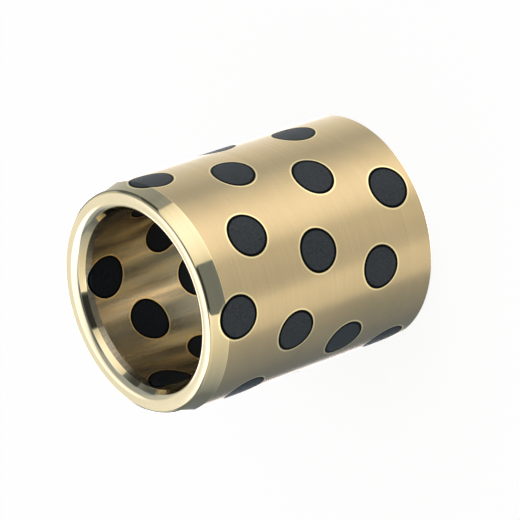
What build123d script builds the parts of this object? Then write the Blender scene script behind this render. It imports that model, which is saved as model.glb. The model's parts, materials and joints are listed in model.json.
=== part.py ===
"""Graphite plugged bushing: a turned bronze sleeve with solid lubricant plugs set in its wall.

The sleeve stands on its plain end, with its axis along +Z and its lead-in end up.
The origin is on the axis, in the plain end's face. Sizes are in millimetres, angles in degrees.
"""

import os
from math import cos, radians, sin, tan

from build123d import *

# ---------------------------------------------------------------- driving dimensions
bore_diameter = 25.0
wall_thickness = 4.0
length = 40.0

# Lead-in on the outside of the top end, which guides the sleeve into its housing.
lead_in_length = 2.6
lead_in_angle = 15.0  # from the axis

# Edge of the lead-in at the top face: a short chamfer, whose own corner with the face is broken.
edge_chamfer_depth = 0.4  # below the top face, where the chamfer starts
edge_chamfer_angle = 35.0  # from the axis
edge_break = 0.15  # laid off from that corner, both ways

# Mouth of the bore at the top end: the face rolls over into a chamfer, and a taper leads on into the bore.
mouth_width = 2.0  # radial, from the bore to where the face starts to roll over
mouth_roll_radius = 1.5
mouth_chamfer_angle = 35.0  # from the axis
mouth_taper_angle = 20.0  # from the axis
mouth_taper_length = 0.85  # along the axis

# Edge breaks at the plain end.
plain_outer_break = 0.3
plain_bore_break = 0.5

# Plugs, in rings along the sleeve. Each ring is turned from the one above, so the plugs wind round the wall.
plug_diameter = 6.1
plug_bond = 0.01  # radial gap between a plug and its hole, filled by the adhesive
ring_count = 7
plugs_per_ring = 4
ring_turn = 36.0
end_distance = 4.55  # from each end face to the centres of the ring nearest it

# ---------------------------------------------------------------- derived sizes
bore_radius = bore_diameter / 2
outer_radius = bore_radius + wall_thickness
hole_diameter = plug_diameter + 2 * plug_bond
ring_pitch = (length - 2 * end_distance) / (ring_count - 1)

# The mouth's section, as radii and depths below the top face, from the face inwards.
roll_start_radius = bore_radius + mouth_width
roll_end_radius = roll_start_radius - mouth_roll_radius * cos(radians(mouth_chamfer_angle))
roll_end_depth = mouth_roll_radius * (1 - sin(radians(mouth_chamfer_angle)))
taper_radius = bore_radius + mouth_taper_length * tan(radians(mouth_taper_angle))
taper_depth = roll_end_depth + (roll_end_radius - taper_radius) / tan(radians(mouth_chamfer_angle))
mouth_depth = taper_depth + mouth_taper_length

# The lead-in's section, from the lead-in inwards to the corner that its chamfer would make with the face.
edge_chamfer_radius = outer_radius - (lead_in_length - edge_chamfer_depth) * tan(radians(lead_in_angle))
face_corner_radius = edge_chamfer_radius - edge_chamfer_depth * tan(radians(edge_chamfer_angle))
break_radius = face_corner_radius + edge_break * sin(radians(edge_chamfer_angle))
break_depth = edge_break * cos(radians(edge_chamfer_angle))

# ---------------------------------------------------------------- turned blank
# The plugs are bonded into the drilled sleeve before it is finish turned, so sleeve and plugs share one
# turned form. It is made once here, and the sleeve and every plug are cut from it.
with BuildPart() as blank:
    with BuildSketch(Plane.XZ):
        with BuildLine():
            face_roll = TangentArc(
                (roll_start_radius, length),
                (roll_end_radius, length - roll_end_depth),
                tangent=(-1, 0),
            )
            Polyline(
                face_roll @ 1,
                (taper_radius, length - taper_depth),
                (bore_radius, length - mouth_depth),
                (bore_radius, plain_bore_break),
                (bore_radius + plain_bore_break, 0),
                (outer_radius - plain_outer_break, 0),
                (outer_radius, plain_outer_break),
                (outer_radius, length - lead_in_length),
                (edge_chamfer_radius, length - edge_chamfer_depth),
                (break_radius, length - break_depth),
                (face_corner_radius - edge_break, length),
                face_roll @ 0,
            )
        make_face()
    revolve(axis=Axis.Z)


# ---------------------------------------------------------------- plug places
def plug_plane(ring, place):
    """Plane at the sleeve's axis whose normal points out along one plug."""
    angle = radians(ring * ring_turn + place * 360 / plugs_per_ring)
    height = length - end_distance - ring * ring_pitch
    return Plane(origin=(0, 0, height), x_dir=(0, 0, 1), z_dir=(cos(angle), sin(angle), 0))


plug_planes = {
    (ring, place): plug_plane(ring, place)
    for ring in range(ring_count)
    for place in range(plugs_per_ring)
}

os.makedirs("parts", exist_ok=True)

# ---------------------------------------------------------------- sleeve
# Every hole starts at the axis and runs out through the wall on one side only.
with BuildPart() as sleeve:
    add(blank.part)
    for plane in plug_planes.values():
        with BuildSketch(plane):
            Circle(hole_diameter / 2)
    extrude(amount=2 * outer_radius, mode=Mode.SUBTRACT)

sleeve.part.label = "sleeve"
export_step(sleeve.part, "parts/sleeve.step")

# ---------------------------------------------------------------- plugs
# A plug's ends follow the bore and the outside and, in the top ring, the mouth's taper and the lead-in.
for (ring, place), plane in plug_planes.items():
    with BuildPart() as plug:
        with BuildSketch(plane):
            Circle(plug_diameter / 2)
        extrude(amount=2 * outer_radius)
        add(blank.part, mode=Mode.INTERSECT)

    plug.part.label = f"plug_ring{ring + 1}_{chr(ord('a') + place)}"
    export_step(plug.part, f"parts/{plug.part.label}.step")
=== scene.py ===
"""Graphite plugged bushing: the finish of its bronze sleeve and graphite plugs, and the studio it stands in.

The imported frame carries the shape: a turned sleeve and the plugs bonded into its wall. The sleeve is shown
by a merged copy whose shading follows the turned form, apart from the end face and its outer edge, which
are shaded rounder than they are. The outside, the chamfers, the end faces, the rolled mouth, the bore, its
taper and the drilled holes each have a finish of their own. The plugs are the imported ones.
Lengths are in metres unless a name says otherwise. The nodes work in millimetres.
"""

import json
from math import cos, pi, radians, sin, tan

import bmesh
import bpy
from bpy.props import FloatProperty, FloatVectorProperty, PointerProperty
from bpy.types import Operator, Panel, PropertyGroup
from mathutils import Matrix, Vector


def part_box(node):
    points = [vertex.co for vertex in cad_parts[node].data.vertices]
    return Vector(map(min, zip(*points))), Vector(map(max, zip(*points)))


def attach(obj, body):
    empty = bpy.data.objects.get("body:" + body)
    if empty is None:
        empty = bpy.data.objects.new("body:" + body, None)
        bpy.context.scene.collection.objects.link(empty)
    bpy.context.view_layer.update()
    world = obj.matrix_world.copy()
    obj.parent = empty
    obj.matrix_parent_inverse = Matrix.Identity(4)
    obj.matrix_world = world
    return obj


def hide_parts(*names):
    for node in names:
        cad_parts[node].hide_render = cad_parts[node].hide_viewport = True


bl_info = {
    "name": "Graphite plugged bushing",
    "version": (1, 0, 0),
    "blender": (4, 5, 0),
    "location": "3D View > Sidebar > Bushing",
    "description": "Finishes the bronze sleeve and the graphite plugs, and sets up the studio",
    "category": "Object",
}

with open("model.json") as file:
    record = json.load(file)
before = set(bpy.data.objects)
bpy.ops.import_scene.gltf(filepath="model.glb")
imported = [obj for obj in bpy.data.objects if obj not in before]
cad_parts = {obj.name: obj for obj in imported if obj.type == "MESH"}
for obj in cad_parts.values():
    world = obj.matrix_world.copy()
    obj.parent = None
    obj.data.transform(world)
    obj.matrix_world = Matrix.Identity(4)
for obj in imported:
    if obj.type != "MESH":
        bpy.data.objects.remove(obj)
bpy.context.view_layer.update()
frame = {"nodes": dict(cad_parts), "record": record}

# ---------------------------------------------------------------- sizes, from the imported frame
MM = 0.001
SLEEVE_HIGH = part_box("sleeve")[1]
LENGTH = SLEEVE_HIGH.z
OUTER_RADIUS = SLEEVE_HIGH.x


def mount(name):
    """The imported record's mount of that name."""
    return next(m for m in frame["record"]["mounts"] if m["name"] == name)


BORE_RADIUS = mount("bore")["dims"]["r_mm"] * MM

RING_COUNT = 7
PLUGS_PER_RING = 4
RING_TURN = radians(36)
PLUG_NAMES = [
    f"plug_ring{ring + 1}_{letter}"
    for ring in range(RING_COUNT)
    for letter in "abcd"[:PLUGS_PER_RING]
]


def plug_middle(name):
    """Height of a plug's axis and the plug's radius."""
    low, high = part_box(name)
    return (low.z + high.z) / 2, (high.z - low.z) / 2


TOP_RING_HEIGHT, PLUG_RADIUS = plug_middle("plug_ring1_a")
RING_PITCH = (TOP_RING_HEIGHT - plug_middle(f"plug_ring{RING_COUNT}_a")[0]) / (RING_COUNT - 1)

# The turned section, as the sleeve has it.
LEAD_IN_LENGTH = 2.6 * MM
LEAD_IN_ANGLE = radians(15)
EDGE_CHAMFER_DEPTH = 0.4 * MM
EDGE_CHAMFER_ANGLE = radians(35)
EDGE_BREAK = 0.15 * MM
MOUTH_WIDTH = 2.0 * MM
MOUTH_ROLL_RADIUS = 1.5 * MM
MOUTH_CHAMFER_ANGLE = radians(35)
MOUTH_TAPER_ANGLE = radians(20)
MOUTH_TAPER_LENGTH = 0.85 * MM
PLAIN_OUTER_BREAK = 0.3 * MM
PLAIN_BORE_BREAK = 0.5 * MM

# Its corners at the top end, as radii and as heights.
LEAD_IN_BOTTOM = LENGTH - LEAD_IN_LENGTH
EDGE_CHAMFER_RADIUS = OUTER_RADIUS - (LEAD_IN_LENGTH - EDGE_CHAMFER_DEPTH) * tan(LEAD_IN_ANGLE)
EDGE_CHAMFER_BOTTOM = LENGTH - EDGE_CHAMFER_DEPTH
CORNER_RADIUS = EDGE_CHAMFER_RADIUS - EDGE_CHAMFER_DEPTH * tan(EDGE_CHAMFER_ANGLE)
BREAK_RADIUS = CORNER_RADIUS + EDGE_BREAK * sin(EDGE_CHAMFER_ANGLE)
BREAK_BOTTOM = LENGTH - EDGE_BREAK * cos(EDGE_CHAMFER_ANGLE)
FACE_RADIUS = CORNER_RADIUS - EDGE_BREAK
ROLL_RADIUS = BORE_RADIUS + MOUTH_WIDTH
ROLL_END_RADIUS = ROLL_RADIUS - MOUTH_ROLL_RADIUS * cos(MOUTH_CHAMFER_ANGLE)
ROLL_BOTTOM = LENGTH - MOUTH_ROLL_RADIUS * (1 - sin(MOUTH_CHAMFER_ANGLE))
TAPER_RADIUS = BORE_RADIUS + MOUTH_TAPER_LENGTH * tan(MOUTH_TAPER_ANGLE)
TAPER_TOP = ROLL_BOTTOM - (ROLL_END_RADIUS - TAPER_RADIUS) / tan(MOUTH_CHAMFER_ANGLE)
MOUTH_BOTTOM = TAPER_TOP - MOUTH_TAPER_LENGTH


# ---------------------------------------------------------------- settings
class SleeveFinish(PropertyGroup):
    colour: FloatVectorProperty(
        name="Bronze",
        description="Colour of the turned outside",
        subtype="COLOR",
        size=3,
        min=0,
        max=1,
        default=(0.64, 0.475, 0.26),
    )
    face_colour: FloatVectorProperty(
        name="Faced bronze",
        description="Colour of the bright end faces and the rolled mouth",
        subtype="COLOR",
        size=3,
        min=0,
        max=1,
        default=(0.64, 0.55, 0.37),
    )
    bore_colour: FloatVectorProperty(
        name="Bored bronze",
        description="Colour of the bore",
        subtype="COLOR",
        size=3,
        min=0,
        max=1,
        default=(0.60, 0.54, 0.395),
    )
    chamfer_colour: FloatVectorProperty(
        name="Lead-in bronze",
        description="Colour of the bright lead-in and chamfers",
        subtype="COLOR",
        size=3,
        min=0,
        max=1,
        default=(0.64, 0.515, 0.30),
    )
    groove_depth: FloatProperty(
        name="Turning depth",
        description="Height of the turning marks on the outside, which the other finishes have a share of",
        unit="LENGTH",
        default=0.0009 * MM,
    )
    # The bright ring round each plug is a painted highlight: a brighter bronze where light would catch the
    # hole's edge.
    highlight_ring_width: FloatProperty(
        name="Painted highlight ring",
        description="Width of the bright ring that is painted as a highlight round each plug outside",
        unit="LENGTH",
        default=0.34 * MM,
    )
    adhesive_width: FloatProperty(
        name="Adhesive line",
        description="Width of the dark line of adhesive that shows round each plug outside",
        unit="LENGTH",
        default=0.07 * MM,
    )


class PlugFinish(PropertyGroup):
    colour: FloatVectorProperty(
        name="Graphite",
        description="Colour of the plugs",
        subtype="COLOR",
        size=3,
        min=0,
        max=1,
        default=(0.0215, 0.0265, 0.0305),
    )


class StudioLook(PropertyGroup):
    azimuth: FloatProperty(
        name="Azimuth",
        description="Where the camera stands round the sleeve",
        subtype="ANGLE",
        default=radians(112.81),
    )
    elevation: FloatProperty(
        name="Elevation",
        description="How far the camera looks down on the end face",
        subtype="ANGLE",
        default=radians(36.72),
    )
    roll: FloatProperty(
        name="Roll",
        description="Turn of the camera about its own axis",
        subtype="ANGLE",
        default=radians(-109.13),
    )
    distance: FloatProperty(
        name="Distance",
        description="From the camera to the point it is aimed at",
        unit="LENGTH",
        default=0.54815,
    )
    aim: FloatVectorProperty(
        name="Aim",
        description="Point in the middle of the picture",
        subtype="XYZ",
        unit="LENGTH",
        size=3,
        default=(0.00988, 0.00412, 0.02566),
    )
    lens: FloatProperty(
        name="Lens",
        description="Focal length of the camera in millimetres",
        default=277.52,
    )
    fill: FloatProperty(
        name="Fill",
        description="Strength of the even light from all round",
        default=0.55,
    )
    key: FloatProperty(
        name="Key",
        description="Strength of the soft light from above",
        default=1.5,
    )


# ---------------------------------------------------------------- node building
class Nodes:
    """Adds nodes to a tree and links them, so that a finish reads as a sum."""

    def __init__(self, tree):
        self.tree = tree
        self.step = 0

    def add(self, kind, **settings):
        node = self.tree.nodes.new(kind)
        node.location = (self.step * 180 % 2700, -(self.step * 180 // 2700) * 260)
        self.step += 1
        for name, value in settings.items():
            setattr(node, name, value)
        return node

    def put(self, socket, value):
        """Links a socket to another one, or sets it to a plain value."""
        if isinstance(value, bpy.types.NodeSocket):
            self.tree.links.new(value, socket)
        else:
            socket.default_value = value

    def math(self, operation, *values):
        node = self.add("ShaderNodeMath", operation=operation)
        for socket, value in zip(node.inputs, values):
            self.put(socket, value)
        return node.outputs[0]

    def vector_math(self, operation, *values):
        node = self.add("ShaderNodeVectorMath", operation=operation)
        for socket, value in zip(node.inputs, values):
            self.put(socket, value)
        return node.outputs[0]

    def combine(self, x, y, z):
        node = self.add("ShaderNodeCombineXYZ")
        for socket, value in zip(node.inputs, (x, y, z)):
            self.put(socket, value)
        return node.outputs[0]

    def separate(self, vector):
        node = self.add("ShaderNodeSeparateXYZ")
        self.put(node.inputs[0], vector)
        return node.outputs[0], node.outputs[1], node.outputs[2]

    def radius(self, x, y):
        """Length of the hypotenuse, such as the distance from the axis."""
        return self.math("SQRT", self.math("ADD", self.math("MULTIPLY", x, x), self.math("MULTIPLY", y, y)))

    def noise(self, vector, scale, detail=2.0, roughness=0.5, distortion=0.0):
        node = self.add("ShaderNodeTexNoise", noise_dimensions="3D", normalize=True)
        self.put(node.inputs["Vector"], vector)
        self.put(node.inputs["Scale"], scale)
        node.inputs["Detail"].default_value = detail
        node.inputs["Roughness"].default_value = roughness
        node.inputs["Distortion"].default_value = distortion
        return node.outputs["Fac"]

    def remap(self, value, low, high, out_low=0.0, out_high=1.0, smooth=False):
        node = self.add("ShaderNodeMapRange", interpolation_type="SMOOTHSTEP" if smooth else "LINEAR")
        for socket, v in zip(node.inputs[:5], (value, low, high, out_low, out_high)):
            self.put(socket, v)
        return node.outputs[0]

    def mix(self, factor, a, b):
        """A mix of two colours."""
        node = self.add("ShaderNodeMix", data_type="RGBA")
        self.put(node.inputs[0], factor)
        for socket, value in ((node.inputs[6], a), (node.inputs[7], b)):
            self.put(socket, value if isinstance(value, bpy.types.NodeSocket) else (*value[:3], 1))
        return node.outputs[2]

    def group(self, tree, **values):
        node = self.add("ShaderNodeGroup", node_tree=tree)
        for name, value in values.items():
            self.put(node.inputs[name.replace("_", " ").capitalize()], value)
        return node.outputs


def new_group(name, inputs, outputs):
    """A shader node group with its sockets, and the builder and ends for its nodes."""
    tree = bpy.data.node_groups.new(name, "ShaderNodeTree")
    for label, kind, value in inputs:
        socket = tree.interface.new_socket(name=label, in_out="INPUT", socket_type=kind)
        if value is not None:
            socket.default_value = value
    for label, kind in outputs:
        tree.interface.new_socket(name=label, in_out="OUTPUT", socket_type=kind)
    nodes = Nodes(tree)
    return tree, nodes, nodes.add("NodeGroupInput").outputs, nodes.add("NodeGroupOutput").inputs


VECTOR = "NodeSocketVector"
FLOAT = "NodeSocketFloat"

# Patterns of the marks, as cycles per millimetre where no other unit is given.
AROUND = 0.02  # how slowly turning marks change round the axis
COARSE_MARKS = 2.0
FINE_MARKS = 9.0
CLOUD_SCALE = 0.16
STRIP_SCALE = 0.55
LINE_SCALE = 2.6
REFLECTION_DRIFT = 0.05  # how slowly the painted reflection streaks change along the bore


def lattice_group():
    """Distance in millimetres from the edge of the nearest plug, below zero inside it."""
    tree, n, given, out = new_group(
        "plug lattice", [("Place", VECTOR, None)], [("Rim", FLOAT)]
    )
    x, y, z = n.separate(given["Place"])
    angle = n.math("ARCTAN2", y, x)
    radius = n.radius(x, y)
    rings_down = n.math("DIVIDE", n.math("SUBTRACT", TOP_RING_HEIGHT / MM, z), RING_PITCH / MM)
    half_gap = pi / PLUGS_PER_RING
    distances = []
    for neighbour in (0, 1):
        ring = n.math("ADD", n.math("FLOOR", rings_down), neighbour)
        ring = n.math("MINIMUM", n.math("MAXIMUM", ring, 0), RING_COUNT - 1)
        height = n.math("SUBTRACT", TOP_RING_HEIGHT / MM, n.math("MULTIPLY", ring, RING_PITCH / MM))
        turned = n.math("SUBTRACT", angle, n.math("MULTIPLY", ring, RING_TURN))
        turned = n.math("WRAP", turned, half_gap, -half_gap)
        aside = n.math("MULTIPLY", radius, n.math("SINE", turned))
        above = n.math("SUBTRACT", z, height)
        distances.append(n.radius(aside, above))
    nearest = n.math("MINIMUM", *distances)
    n.put(out["Rim"], n.math("SUBTRACT", nearest, PLUG_RADIUS / MM))
    return tree


def turning_group():
    """Marks that a turning tool leaves: even round the axis, uneven across its path."""
    tree, n, given, out = new_group(
        "turning marks",
        [("Place", VECTOR, None), ("Across", FLOAT, 0.0)],
        [("Height", FLOAT), ("Tone", FLOAT)],
    )
    x, y, _ = n.separate(given["Place"])
    x_small = n.math("MULTIPLY", x, AROUND)
    y_small = n.math("MULTIPLY", y, AROUND)
    coarse_place = n.combine(x_small, y_small, n.math("MULTIPLY", given["Across"], COARSE_MARKS))
    fine_place = n.combine(x_small, y_small, n.math("MULTIPLY", given["Across"], FINE_MARKS))
    coarse = n.noise(coarse_place, 1.0, 3.0, 0.6)
    fine = n.noise(fine_place, 1.0, 2.0, 0.5)
    n.put(out["Height"], n.math("ADD", n.math("MULTIPLY", coarse, 0.5), n.math("MULTIPLY", fine, 0.5)))
    n.put(out["Tone"], coarse)
    return tree


def handling_group():
    """Slow clouding of a handled metal surface, and the short scratches on it."""
    tree, n, given, out = new_group(
        "handling", [("Place", VECTOR, None)], [("Clouds", FLOAT), ("Scratches", FLOAT)]
    )
    clouds = n.noise(given["Place"], CLOUD_SCALE, 4.0, 0.55, 0.4)
    x, y, z = n.separate(given["Place"])
    slanted = n.combine(
        n.math("ADD", n.math("MULTIPLY", x, 0.9), n.math("MULTIPLY", z, 0.25)),
        n.math("MULTIPLY", y, 0.9),
        n.math("MULTIPLY", z, 7.0),
    )
    lines = n.noise(slanted, 1.3, 2.0, 0.4, 0.2)
    n.put(out["Clouds"], clouds)
    n.put(out["Scratches"], n.remap(lines, 0.66, 0.72))
    return tree


def reflection_streak_group():
    """Painted reflections along the bore: strips of dull light and lines of bright light."""
    tree, n, given, out = new_group(
        "bore streaks", [("Place", VECTOR, None)], [("Strips", FLOAT), ("Lines", FLOAT)]
    )
    x, y, z = n.separate(given["Place"])
    drift = n.math("MULTIPLY", z, REFLECTION_DRIFT)
    around = n.combine(x, y, drift)
    n.put(out["Strips"], n.noise(around, STRIP_SCALE, 2.0, 0.55))
    n.put(out["Lines"], n.noise(around, LINE_SCALE, 2.0, 0.5))
    return tree


GROUPS = {}


def group(name):
    """A shared node group, built the first time it is asked for."""
    makers = {
        "lattice": lattice_group,
        "turning": turning_group,
        "handling": handling_group,
        "reflection_streaks": reflection_streak_group,
    }
    if name not in GROUPS:
        GROUPS[name] = makers[name]()
    return GROUPS[name]


def empty_material(name):
    """A node material with nothing in it but its output, its node builder and that output's surface."""
    material = bpy.data.materials.new(name)
    material.use_nodes = True
    material.node_tree.nodes.clear()
    n = Nodes(material.node_tree)
    return material, n, n.add("ShaderNodeOutputMaterial").inputs["Surface"]


def new_material(name):
    """A node material, its node builder, its surface shader and the place in millimetres."""
    material, n, surface = empty_material(name)
    shader = n.add("ShaderNodeBsdfPrincipled")
    n.put(surface, shader.outputs[0])
    place = n.vector_math("MULTIPLY", n.add("ShaderNodeTexCoord").outputs["Object"], (1 / MM, 1 / MM, 1 / MM))
    return material, n, shader, place


GLAZE = (0.0010, 0.0016, 0.0023)  # glazed rims of the plugs
WORN_GLAZE = (0.0004, 0.0022, 0.0080)  # their ends in the bore, glazed by the shaft
PAINTED_HIGHLIGHT = (1.0, 0.80, 0.42)  # painted highlight: bright bronze round each plug outside and along the lead-in corner
# painted highlight round each plug in the bore
PAINTED_BORE_HIGHLIGHT = (0.98, 0.72, 0.33)
PAINTED_DULL_REFLECTION = (0.42, 0.37, 0.27)  # painted reflection: strips of dull light along the bore
PAINTED_BRIGHT_REFLECTION = (0.80, 0.62, 0.36)  # painted reflection: bright lines along it
ADHESIVE = (0.02, 0.018, 0.016)  # dark line of adhesive that fills the edge of a hole

# Widths and depths of those marks in millimetres, and how much of a mark shows.
ADHESIVE_FADE = 0.04
# width of the painted highlight ring round each plug in the bore
BORE_HIGHLIGHT_WIDTH = 0.22
RIM_GLAZE = (-0.36, -0.24)  # from the edge of a plug, below zero inside it: the glaze begins, and is whole
WORN_DEPTH = (0.5, 1.0)  # from the bore into the wall: the worn glaze is whole, and ends
WORN_SHARE = 0.6
OUTSIDE_CORNER_HIGHLIGHT = 0.12  # width of the painted highlight along the corner where outside and lead-in meet, on the outside
CHAMFER_CORNER_HIGHLIGHT = 0.08  # and of the painted highlight on the lead-in
# Shares of the painted reflection streaks in the bore and on the taper.
BORE_REFLECTION_STREAKS = 0.8
TAPER_REFLECTION_STREAKS = 0.3
TAPER_SHADE = 0.5  # the taper's colour, as a share of the bore's: painted shade
GROOVE_TURN = 0.25  # in whole turns: the grain runs round the axis
GRAIN_DEPTH = 0.004 * MM


def tinted(colour, share):
    return tuple(c * share for c in colour)


def bronze(
    name,
    colour,
    roughness,
    across,
    groove_depth,
    anisotropy=0.0,
    metallic=1.0,
    ring=0.0,
    highlight_colour=PAINTED_HIGHLIGHT,
    gap=0.0,
    corner_highlight=0.0,
    reflection_streaks=0.0,
):
    """Turned bronze. across says which way the tool travelled: along the axis or out from it. It may carry a
    painted highlight round each plug, another along the lead-in corner, and painted reflections as streaks
    along the bore.
    """
    material, n, shader, place = new_material(name)
    x, y, z = n.separate(place)
    if across == "axis":
        travel = z
    else:
        travel = n.radius(x, y)
    marks = n.group(group("turning"), place=place, across=travel)
    handled = n.group(group("handling"), place=place)

    base = n.mix(n.remap(handled["Clouds"], 0.3, 0.7), tinted(colour, 0.96), tinted(colour, 1.04))
    base = n.mix(n.remap(marks["Tone"], 0.35, 0.65, 0.0, 0.5), base, tinted(colour, 0.93))
    base = n.mix(n.math("MULTIPLY", handled["Scratches"], 0.3), base, tinted(colour, 1.2))
    # Painted highlight along the corner where outside and lead-in meet.
    if corner_highlight:
        near = n.math("ABSOLUTE", n.math("SUBTRACT", z, LEAD_IN_BOTTOM / MM))
        base = n.mix(n.remap(near, corner_highlight * 0.5, corner_highlight, 0.55, 0.0, smooth=True), base, PAINTED_HIGHLIGHT)
    # Painted reflections: dull strips and bright lines along the bore.
    if reflection_streaks:
        reflections = n.group(group("reflection_streaks"), place=place)
        base = n.mix(n.remap(reflections["Strips"], 0.38, 0.62, 0.0, reflection_streaks), base, PAINTED_DULL_REFLECTION)
        base = n.mix(n.remap(reflections["Lines"], 0.40, 0.66, 0.0, reflection_streaks * 0.8), base, PAINTED_BRIGHT_REFLECTION)
    rough = n.math("ADD", roughness, n.math("MULTIPLY", n.math("SUBTRACT", handled["Clouds"], 0.5), 0.10))
    rough = n.math("ADD", rough, n.math("MULTIPLY", n.math("SUBTRACT", marks["Tone"], 0.5), 0.08))
    # Painted highlight: a brighter ring round each plug; then the dark line of adhesive at its edge.
    if ring:
        rim = n.group(group("lattice"), place=place)["Rim"]
        highlight_share = n.remap(rim, ring * 0.75, ring * 1.15, 1.0, 0.0, smooth=True)
        base = n.mix(highlight_share, base, highlight_colour)
        rough = n.math("ADD", rough, n.math("MULTIPLY", highlight_share, 0.1))
        base = n.mix(n.remap(rim, gap, gap + ADHESIVE_FADE, 1.0, 0.0, smooth=True), base, ADHESIVE)
    n.put(shader.inputs["Base Color"], base)
    shader.inputs["Metallic"].default_value = metallic
    n.put(shader.inputs["Roughness"], rough)
    shader.inputs["Anisotropic"].default_value = anisotropy
    shader.inputs["Anisotropic Rotation"].default_value = GROOVE_TURN
    bump = n.add("ShaderNodeBump")
    bump.inputs["Strength"].default_value = 1.0
    bump.inputs["Distance"].default_value = groove_depth
    n.put(bump.inputs["Height"], marks["Height"])
    n.put(shader.inputs["Normal"], bump.outputs[0])
    return material


def graphite(name, colour):
    """Pressed graphite, finished flush: a soft black with a fine grain, glazed at its rim and in the bore."""
    material, n, shader, place = new_material(name)
    grain = n.noise(place, 3.4, 3.0, 0.7)
    flecks = n.noise(place, 9.0, 2.0, 0.5)
    clouds = n.noise(place, 0.5, 2.0, 0.5)
    base = n.mix(n.remap(grain, 0.38, 0.62), tinted(colour, 0.45), tinted(colour, 1.55))
    base = n.mix(n.remap(clouds, 0.35, 0.65, 0.0, 0.5), base, tinted(colour, 1.1))
    base = n.mix(n.remap(flecks, 0.60, 0.70, 0.0, 0.6), base, tinted(colour, 4.0))
    x, y, _ = n.separate(place)
    depth = n.math("SUBTRACT", n.radius(x, y), BORE_RADIUS / MM)
    bore_side = n.remap(depth, *WORN_DEPTH, WORN_SHARE, 0.0)
    rim = n.group(group("lattice"), place=place)["Rim"]
    rim_side = n.remap(rim, *RIM_GLAZE, smooth=True)
    glazed = n.math("MAXIMUM", bore_side, rim_side)
    base = n.mix(bore_side, base, WORN_GLAZE)
    base = n.mix(rim_side, base, GLAZE)
    n.put(shader.inputs["Base Color"], base)
    n.put(shader.inputs["Metallic"], glazed)
    n.put(shader.inputs["Roughness"], n.remap(grain, 0.3, 0.7, 0.38, 0.66))
    shader.inputs["IOR"].default_value = 1.3
    bump = n.add("ShaderNodeBump")
    bump.inputs["Strength"].default_value = 1.0
    bump.inputs["Distance"].default_value = GRAIN_DEPTH
    n.put(bump.inputs["Height"], n.math("ADD", grain, n.math("MULTIPLY", flecks, 0.4)))
    n.put(shader.inputs["Normal"], bump.outputs[0])
    return material


# ---------------------------------------------------------------- the sleeve's turned form
def outward(point):
    """Unit vector from the axis through a point."""
    return Vector((point.x, point.y, 0)).normalized()


def sloped(rise):
    """Normal of a cone that faces out from the axis, tilted up by rise."""
    return lambda p: outward(p) * cos(rise) + Vector((0, 0, sin(rise)))


def inward_sloped(rise):
    """Normal of a cone that faces the axis, tilted up by rise."""
    return lambda p: outward(p) * -cos(rise) + Vector((0, 0, sin(rise)))


def rounded(place_of, start, end, start_rise, end_rise):
    """Normal that turns steadily from one rise to another between two places on the section."""

    def rule(point):
        share = min(max((place_of(point) - start) / (end - start), 0), 1)
        return sloped(radians(start_rise + (end_rise - start_rise) * share))(point)

    return rule


def roll_normal(point):
    """Normal of the rolled mouth, a torus about the axis."""
    centre = outward(point) * ROLL_RADIUS + Vector((0, 0, LENGTH - MOUTH_ROLL_RADIUS))
    return (point - centre).normalized()


def hole_normal(point):
    """Normal of a drilled hole's wall, towards the hole's own axis."""
    ring = min(max(round((TOP_RING_HEIGHT - point.z) / RING_PITCH), 0), RING_COUNT - 1)
    best = None
    for near in (ring - 1, ring, ring + 1):
        if not 0 <= near < RING_COUNT:
            continue
        for place in range(PLUGS_PER_RING):
            angle = near * RING_TURN + place * 2 * pi / PLUGS_PER_RING
            out = Vector((cos(angle), sin(angle), 0))
            foot = Vector((0, 0, TOP_RING_HEIGHT - near * RING_PITCH))
            along = (point - foot).dot(out)
            across = point - foot - out * along
            if along > 0 and (best is None or abs(across.length - PLUG_RADIUS) < best[0]):
                best = (abs(across.length - PLUG_RADIUS), -across.normalized())
    return best[1]


def radius_of(point):
    return Vector((point.x, point.y)).length


def height_of(point):
    return point.z


# The face's edge is shaded as if rubbed round, and the face as if a little crowned towards it. These are the
# rises in degrees that the shading turns between. The form's own are 35, 62.5 and 90.
EDGE_RISES = (24, 38)
BREAK_RISES = (38, 58)
FACE_RISES = (84, 90)
EDGE_ROUNDING = rounded(height_of, EDGE_CHAMFER_BOTTOM, BREAK_BOTTOM, *EDGE_RISES)
BREAK_ROUNDING = rounded(radius_of, BREAK_RADIUS, FACE_RADIUS, *BREAK_RISES)
FACE_CROWN = rounded(radius_of, FACE_RADIUS, ROLL_RADIUS, *FACE_RISES)
PLAIN_EDGE = OUTER_RADIUS - PLAIN_OUTER_BREAK
PLAIN_MOUTH = BORE_RADIUS + PLAIN_BORE_BREAK
PLAIN_SLOPE = radians(-45)

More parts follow.
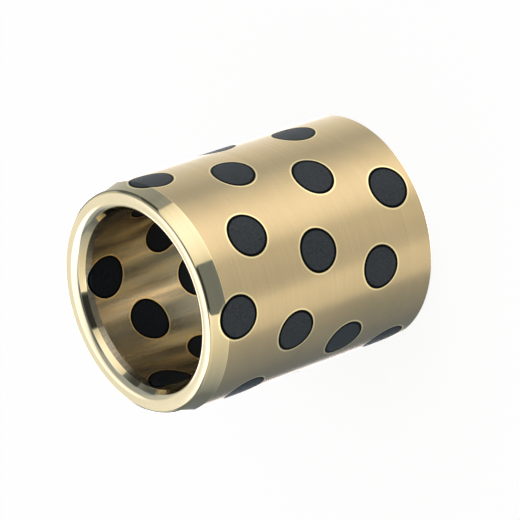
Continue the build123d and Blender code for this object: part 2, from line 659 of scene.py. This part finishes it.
# Each zone of the turned form: its finish, where it lies as (lowest height, highest height, least radius,
# greatest radius), and its normal.
ZONES = (
    ("outside", (0, LEAD_IN_BOTTOM, OUTER_RADIUS, OUTER_RADIUS), sloped(0)),
    ("bore", (0, MOUTH_BOTTOM, BORE_RADIUS, BORE_RADIUS), inward_sloped(0)),
    (
        "chamfer",
        (LEAD_IN_BOTTOM, EDGE_CHAMFER_BOTTOM, EDGE_CHAMFER_RADIUS, OUTER_RADIUS),
        sloped(LEAD_IN_ANGLE),
    ),
    ("chamfer", (EDGE_CHAMFER_BOTTOM, BREAK_BOTTOM, BREAK_RADIUS, EDGE_CHAMFER_RADIUS), EDGE_ROUNDING),
    ("chamfer", (BREAK_BOTTOM, LENGTH, FACE_RADIUS, BREAK_RADIUS), BREAK_ROUNDING),
    ("face", (LENGTH, LENGTH, ROLL_RADIUS, FACE_RADIUS), FACE_CROWN),
    ("mouth", (ROLL_BOTTOM, LENGTH, ROLL_END_RADIUS, ROLL_RADIUS), roll_normal),
    (
        "chamfer",
        (TAPER_TOP, ROLL_BOTTOM, TAPER_RADIUS, ROLL_END_RADIUS),
        inward_sloped(MOUTH_CHAMFER_ANGLE),
    ),
    ("taper", (MOUTH_BOTTOM, TAPER_TOP, BORE_RADIUS, TAPER_RADIUS), inward_sloped(MOUTH_TAPER_ANGLE)),
    ("face", (0, 0, BORE_RADIUS, OUTER_RADIUS), lambda p: Vector((0, 0, -1))),
    ("chamfer", (0, PLAIN_OUTER_BREAK, PLAIN_EDGE, OUTER_RADIUS), sloped(PLAIN_SLOPE)),
    ("mouth", (0, PLAIN_BORE_BREAK, BORE_RADIUS, PLAIN_MOUTH), inward_sloped(PLAIN_SLOPE)),
)
FINISHES = ("outside", "chamfer", "face", "mouth", "bore", "taper", "hole")

NEAR = 0.02 * MM  # how far a corner may lie outside its zone
LEAST_MATCH = 0.88  # how well a face must face the way of its zone, as the cosine of the angle between
MERGE_DISTANCE = 0.0005 * MM


def lies_in(point, zone):
    """Whether a point is in a zone's heights and radii."""
    low, high, least, greatest = zone
    radius = radius_of(point)
    return low - NEAR <= point.z <= high + NEAR and least - NEAR <= radius <= greatest + NEAR


def zone_of(points, normal, middle):
    """The finish and the normal of the zone that a face lies in. What lies in none is a hole's wall."""
    best = (LEAST_MATCH, "hole", hole_normal)
    for finish, zone, rule in ZONES:
        if all(lies_in(point, zone) for point in points):
            match = normal.dot(rule(middle))
            if match > best[0]:
                best = (match, finish, rule)
    return best[1], best[2]


def turned_sleeve(finishes):
    """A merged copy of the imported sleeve, with its faces sorted by finish and its shading set by its form."""
    mesh = frame["nodes"]["sleeve"].data.copy()
    mesh.name = "turned_sleeve"
    mesh.materials.clear()
    for finish in FINISHES:
        mesh.materials.append(finishes[finish])
    bm = bmesh.new()
    bm.from_mesh(mesh)
    bmesh.ops.remove_doubles(bm, verts=bm.verts, dist=MERGE_DISTANCE)
    bm.normal_update()
    rules = []
    for face in bm.faces:
        points = [v.co for v in face.verts]
        finish, rule = zone_of(points, face.normal, face.calc_center_median())
        face.material_index = FINISHES.index(finish)
        face.smooth = True
        rules.append(rule)
    bm.to_mesh(mesh)
    bm.free()
    normals = [Vector()] * len(mesh.loops)
    for polygon, rule in zip(mesh.polygons, rules):
        for loop in polygon.loop_indices:
            normals[loop] = rule(mesh.vertices[mesh.loops[loop].vertex_index].co)
    mesh.normals_split_custom_set(normals)
    return mesh


class BUSHING_OT_sleeve(Operator):
    """Shows the bronze sleeve with a finish on each of its turned surfaces"""

    bl_idname = "bushing.sleeve"
    bl_label = "Sleeve"

    def execute(self, context):
        look = context.scene.bushing_sleeve
        colour = tuple(look.colour)
        face_colour = tuple(look.face_colour)
        bore_colour = tuple(look.bore_colour)
        chamfer_colour = tuple(look.chamfer_colour)
        depth = look.groove_depth
        # ring is the width of the painted highlight round each plug, gap that of the dark adhesive line.
        rims = {"ring": look.highlight_ring_width / MM, "gap": look.adhesive_width / MM}
        finishes = {
            "outside": bronze(
                "bronze_turned_outside",
                colour,
                0.26,
                "axis",
                depth,
                anisotropy=0.5,
                corner_highlight=OUTSIDE_CORNER_HIGHLIGHT,
                **rims,
            ),
            "chamfer": bronze(
                "bronze_bright_chamfer",
                chamfer_colour,
                0.06,
                "axis",
                depth * 0.1,
                corner_highlight=CHAMFER_CORNER_HIGHLIGHT,
                **rims,
            ),
            "face": bronze("bronze_faced_end", face_colour, 0.12, "radius", depth * 0.2),
            "mouth": bronze("bronze_rolled_mouth", face_colour, 0.10, "axis", depth * 0.1),
            "bore": bronze(
                "bronze_bored",
                bore_colour,
                0.21,
                "axis",
                depth * 0.4,
                anisotropy=0.85,
                metallic=0.96,
                ring=BORE_HIGHLIGHT_WIDTH,
                highlight_colour=PAINTED_BORE_HIGHLIGHT,
                reflection_streaks=BORE_REFLECTION_STREAKS,
            ),
            # The taper is a darker copy of the bore's bronze: painted shade.
            "taper": bronze(
                "bronze_shaded_taper",
                tinted(bore_colour, TAPER_SHADE),
                0.21,
                "axis",
                depth * 0.2,
                anisotropy=0.85,
                reflection_streaks=TAPER_REFLECTION_STREAKS,
            ),
            "hole": bronze("bronze_drilled", colour, 0.4, "radius", depth),
        }
        mesh = turned_sleeve(finishes)
        sleeve = bpy.data.objects.new("turned_sleeve", mesh)
        context.scene.collection.objects.link(sleeve)
        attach(sleeve, "root")
        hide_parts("sleeve")
        return {"FINISHED"}


class BUSHING_OT_plugs(Operator):
    """Gives the graphite plugs their finish"""

    bl_idname = "bushing.plugs"
    bl_label = "Plugs"

    def execute(self, context):
        finish = graphite("graphite_pressed", tuple(context.scene.bushing_plugs.colour))
        for name in PLUG_NAMES:
            for slot in frame["nodes"][name].material_slots:
                slot.material = finish
        return {"FINISHED"}


# ---------------------------------------------------------------- studio
# What the bright metal mirrors. Azimuths are in degrees from +X and elevations in degrees above eye level.
FLOOR_LEVEL = 0.8
WALL_LEVEL = 0.3
UPPER_LEVEL = 0.6
FLOOR_EDGE = (-37, -27)
UPPER_EDGE = (8, 26)

# Each panel stands before those listed above it. Its row gives its name, its azimuths from and to, its
# elevations from and to, its brightness in the middle, how much that gains towards its far side and loses
# towards both sides, and how many degrees its sides and its top and bottom edges take to fade.
PANELS = (
    ("left wall", 262, 349.5, -60, 44, 0.86, 0.6, 0, 1, 4),
    ("dark left back", 232, 264, -60, 14, 0.25, 0, 0, 3, 6),
    ("right softbox", 36.5, 101, -32, 37, 1.85, 0, 0.75, 0.8, 4),
    ("left softbox top", 276, 349.5, 9, 44, 1.1, 0.5, 0, 1, 6),
    ("front gap", -10.5, 36, -31, 62, 0.3, 0, 0, 0.7, 6),
    ("front dark", -8, 36, 18, 46, 0.05, 0, 0, 3, 6),
    ("dark above camera", -28, 72, 41, 60, 0.22, 0, 0, 8, 5),
    ("dark right back", 101, 124, -12, 23, 0.1, 0, 0, 1, 5),
    ("dim right back", 124, 150, -12, 13, 0.17, 0, 0, 4, 7),
    ("right spill", 101, 112, -33, -9, 0.72, 0, 0, 3, 4),
    ("right back wall", 101, 178, -33, -12, 0.58, 0.2, 0, 2, 4),
    ("back left haze", 206, 238, -10, 24, 0.85, -0.1, 0, 5, 5),
    ("back right haze", 150, 190, -1, 38, 0.85, 0.05, 0, 5, 4),
    ("cream band", 174, 228, 10, 50, 1.29, 0, 0, 6, 5),
    ("backdrop", 188, 213, -22, 15, 2.8, 0, 0, 3, 5),
    ("backdrop foot", 179, 226, -90, -22, 2.8, 0, 0, 4, 3),
    ("floor right", 26, 90, -90, -34, 1.5, 0, 0.6, 5, 2),
    ("floor front", -10, 28, -90, -34, 1.0, 0.15, 0, 5, 2),
    ("floor left", 316, 356, -90, -34, 0.95, 0.05, 0, 8, 2),
    ("floor left dark", 226, 314, -90, -34, 0.28, 0.04, 0, 3, 2),
    ("floor back", 124, 178, -90, -34, 1.16, 0.3, 0, 9, 2),
    ("floor right dim", 95, 121, -90, -34, 0.72, 0, 0, 4, 2),
)

# The roof light, as reaches from the spot overhead for a roof one unit up.
ROOF_X = (-1.1, 0.5)
ROOF_Y = (-1.18, 0.27)
ROOF_FADE = 0.14
ROOF_SLOPE = (-0.6, 0.25)  # between these reaches along Y its brightness goes from one level to the other
ROOF_LEVEL = (2.5, 1.5)
ROOF_HORIZON = 0.02  # rises below this, as a sine, don't reach the roof

# Colour of the studio: cool where it is dark, neutral where it is lit, cold again in the brightest lights.
SHADE_COLOUR = (0.85, 1.04, 1.28)
LIT_COLOUR = (1.0, 1.02, 0.98)
GLARE_COLOUR = (1.0, 1.0, 1.10)
LIT_RANGE = (0.3, 1.0)  # brightness over which shade turns to the lit colour
GLARE_RANGE = (1.2, 2.1)  # and over which that turns to glare


def between(n, value, low, high, fade):
    """One between two bounds and zero outside them, fading across each."""
    rising = n.remap(value, low - fade, low + fade, smooth=True)
    falling = n.remap(value, high - fade, high + fade, 1.0, 0.0, smooth=True)
    return n.math("MULTIPLY", rising, falling)


def panel_group():
    """Lays one panel of even, sloping or rounded brightness over the studio behind it."""
    view = ("Behind", "Azimuth", "Elevation")
    extent = ("Middle", "Half", "Low", "High")
    light = ("Level", "Gain", "Loss", "Fade", "Edge")
    inputs = [(name, FLOAT, 0.0) for name in view + extent + light]
    tree, n, given, out = new_group("studio panel", inputs, [("Level", FLOAT)])
    aside = n.math("WRAP", n.math("SUBTRACT", given["Azimuth"], given["Middle"]), 180, -180)
    far = n.math("ABSOLUTE", aside)
    inner = n.math("SUBTRACT", given["Half"], given["Fade"])
    outer = n.math("ADD", given["Half"], given["Fade"])
    mask = n.remap(far, inner, outer, 1.0, 0.0, smooth=True)
    for edge, low, high in (("Low", 0.0, 1.0), ("High", 1.0, 0.0)):
        below = n.math("SUBTRACT", given[edge], given["Edge"])
        above = n.math("ADD", given[edge], given["Edge"])
        mask = n.math("MULTIPLY", mask, n.remap(given["Elevation"], below, above, low, high, smooth=True))
    share = n.math("DIVIDE", aside, given["Half"])
    share = n.math("MINIMUM", n.math("MAXIMUM", share, -1), 1)
    level = n.math("ADD", given["Level"], n.math("MULTIPLY", given["Gain"], share))
    level = n.math("SUBTRACT", level, n.math("MULTIPLY", given["Loss"], n.math("MULTIPLY", share, share)))
    change = n.math("MULTIPLY", mask, n.math("SUBTRACT", level, given["Behind"]))
    n.put(out["Level"], n.math("ADD", given["Behind"], change))
    return tree


def studio_level(n, x, y, z):
    """Brightness of the studio in one direction."""
    azimuth = n.math("DEGREES", n.math("ARCTAN2", y, x))
    elevation = n.math("DEGREES", n.math("ARCSINE", z))
    level = n.remap(elevation, *FLOOR_EDGE, FLOOR_LEVEL, WALL_LEVEL, smooth=True)
    level = n.remap(elevation, *UPPER_EDGE, level, UPPER_LEVEL, smooth=True)
    tree = panel_group()
    for _, start, end, low, high, middle, gain, loss, fade, edge in PANELS:
        level = n.group(
            tree,
            behind=level,
            azimuth=azimuth,
            elevation=elevation,
            middle=(start + end) / 2,
            half=(end - start) / 2,
            low=low,
            high=high,
            level=middle,
            gain=gain,
            loss=loss,
            fade=fade,
            edge=edge,
        )["Level"]
    height = n.math("MAXIMUM", z, ROOF_HORIZON)
    over_x = between(n, n.math("DIVIDE", x, height), *ROOF_X, ROOF_FADE)
    over_y = between(n, n.math("DIVIDE", y, height), *ROOF_Y, ROOF_FADE)
    roof = n.math("MULTIPLY", n.math("MULTIPLY", over_x, over_y), n.math("GREATER_THAN", z, ROOF_HORIZON))
    glow = n.remap(n.math("DIVIDE", y, height), *ROOF_SLOPE, *ROOF_LEVEL)
    return n.math("ADD", level, n.math("MULTIPLY", roof, n.math("SUBTRACT", glow, level)))


def make_world(look):
    """White to the camera, lit panels and dark gaps to the metal, and an even fill for the rest."""
    world = bpy.data.worlds.new("studio")
    world.use_nodes = True
    world.node_tree.nodes.clear()
    n = Nodes(world.node_tree)
    end = n.add("ShaderNodeOutputWorld")
    path = n.add("ShaderNodeLightPath").outputs
    level = studio_level(n, *n.separate(n.add("ShaderNodeTexCoord").outputs["Generated"]))
    tint = n.mix(n.remap(level, *LIT_RANGE), SHADE_COLOUR, LIT_COLOUR)
    tint = n.mix(n.remap(level, *GLARE_RANGE), tint, GLARE_COLOUR)
    room = n.vector_math("MULTIPLY", tint, n.combine(level, level, level))
    seen = n.mix(path["Is Glossy Ray"], (1, 1, 1), room)
    direct = n.math("MAXIMUM", path["Is Camera Ray"], path["Is Glossy Ray"])
    shown = n.mix(direct, (look.fill,) * 3, seen)
    background = n.add("ShaderNodeBackground")
    n.put(background.inputs["Color"], shown)
    background.inputs["Strength"].default_value = 1.0
    world.node_tree.links.new(background.outputs[0], end.inputs["Surface"])
    return world


FLOOR_SIZE = 4.0
FLOOR_GAP = 0.02 * MM
FLOOR_WHITE = 0.93
FLOOR_LIFT = 0.88  # share of plain white in what the camera sees of the floor


def floor_material():
    """Matt white that keeps the sleeve's shadow, lifted to a clean white for the camera."""
    material, n, surface = empty_material("studio_floor")
    matt = n.add("ShaderNodeBsdfDiffuse")
    matt.inputs["Color"].default_value = (FLOOR_WHITE, FLOOR_WHITE, FLOOR_WHITE, 1)
    white = n.add("ShaderNodeEmission")
    white.inputs["Color"].default_value = (1, 1, 1, 1)
    blend = n.add("ShaderNodeMixShader")
    path = n.add("ShaderNodeLightPath").outputs
    n.put(blend.inputs[0], n.math("MULTIPLY", path["Is Camera Ray"], FLOOR_LIFT))
    n.put(blend.inputs[1], matt.outputs[0])
    n.put(blend.inputs[2], white.outputs[0])
    n.put(surface, blend.outputs[0])
    return material


def make_floor(scene):
    mesh = bpy.data.meshes.new("studio_floor")
    bm = bmesh.new()
    bmesh.ops.create_grid(bm, x_segments=1, y_segments=1, size=FLOOR_SIZE / 2)
    bmesh.ops.translate(bm, verts=bm.verts, vec=(0, 0, -FLOOR_GAP))
    bm.to_mesh(mesh)
    bm.free()
    floor = bpy.data.objects.new("studio_floor", mesh)
    scene.collection.objects.link(floor)
    mesh.materials.append(floor_material())
    floor.visible_glossy = False


KEY_SPREAD = radians(60)
KEY_AZIMUTH = radians(160)  # from -Y, counter-clockwise
KEY_LEAN = 0.4  # how far aside it stands for each unit up


def make_lamp(scene, look):
    """One broad soft light from overhead."""
    data = bpy.data.lights.new("overhead_light", "SUN")
    data.energy = look.key
    data.angle = KEY_SPREAD
    lamp = bpy.data.objects.new("overhead_light", data)
    scene.collection.objects.link(lamp)
    direction = Vector((sin(KEY_AZIMUTH) * KEY_LEAN, -cos(KEY_AZIMUTH) * KEY_LEAN, 1)).normalized()
    lamp.rotation_euler = direction.to_track_quat("Z", "Y").to_euler()
    lamp.location = direction
    lamp.visible_glossy = False


def make_camera(scene, look):
    data = bpy.data.cameras.new("studio_camera")
    data.sensor_width = 36
    data.lens = look.lens
    data.clip_start = 0.01
    data.clip_end = 50
    camera = bpy.data.objects.new("studio_camera", data)
    scene.collection.objects.link(camera)
    az, el = look.azimuth, look.elevation
    back = Vector((sin(az) * cos(el), -cos(az) * cos(el), sin(el)))
    level = Vector((cos(az), sin(az), 0))
    upright = back.cross(level)
    right = level * cos(look.roll) + upright * sin(look.roll)
    up = back.cross(right)
    turn = Matrix((right, up, back)).transposed().to_4x4()
    camera.matrix_world = Matrix.Translation(Vector(look.aim) + back * look.distance) @ turn
    scene.camera = camera


class BUSHING_OT_studio(Operator):
    """Sets the floor, the light, the camera and what the metal mirrors"""

    bl_idname = "bushing.studio"
    bl_label = "Studio"

    def execute(self, context):
        scene = context.scene
        look = scene.bushing_studio
        make_floor(scene)
        make_lamp(scene, look)
        make_camera(scene, look)
        scene.world = make_world(look)
        scene.view_settings.view_transform = "Standard"
        return {"FINISHED"}


class BUSHING_PT_panel(Panel):
    """Lists the bushing's settings and the steps that dress it"""

    bl_idname = "BUSHING_PT_panel"
    bl_label = "Plugged bushing"
    bl_space_type = "VIEW_3D"
    bl_region_type = "UI"
    bl_category = "Bushing"

    def draw(self, context):
        for settings, operator in STEPS:
            group_of = getattr(context.scene, settings)
            box = self.layout.box()
            for name in group_of.__annotations__:
                box.prop(group_of, name)
            box.operator(operator)


STEPS = (
    ("bushing_sleeve", "bushing.sleeve"),
    ("bushing_plugs", "bushing.plugs"),
    ("bushing_studio", "bushing.studio"),
)
SETTINGS = {"bushing_sleeve": SleeveFinish, "bushing_plugs": PlugFinish, "bushing_studio": StudioLook}
CLASSES = (*SETTINGS.values(), BUSHING_OT_sleeve, BUSHING_OT_plugs, BUSHING_OT_studio, BUSHING_PT_panel)


def register():
    for cls in CLASSES:
        bpy.utils.register_class(cls)
    for name, cls in SETTINGS.items():
        setattr(bpy.types.Scene, name, PointerProperty(type=cls))


def unregister():
    for name in SETTINGS:
        delattr(bpy.types.Scene, name)
    for cls in reversed(CLASSES):
        bpy.utils.unregister_class(cls)


def main():
    register()
    bpy.ops.bushing.sleeve()
    bpy.ops.bushing.plugs()
    bpy.ops.bushing.studio()


if __name__ == "__main__":
    main()
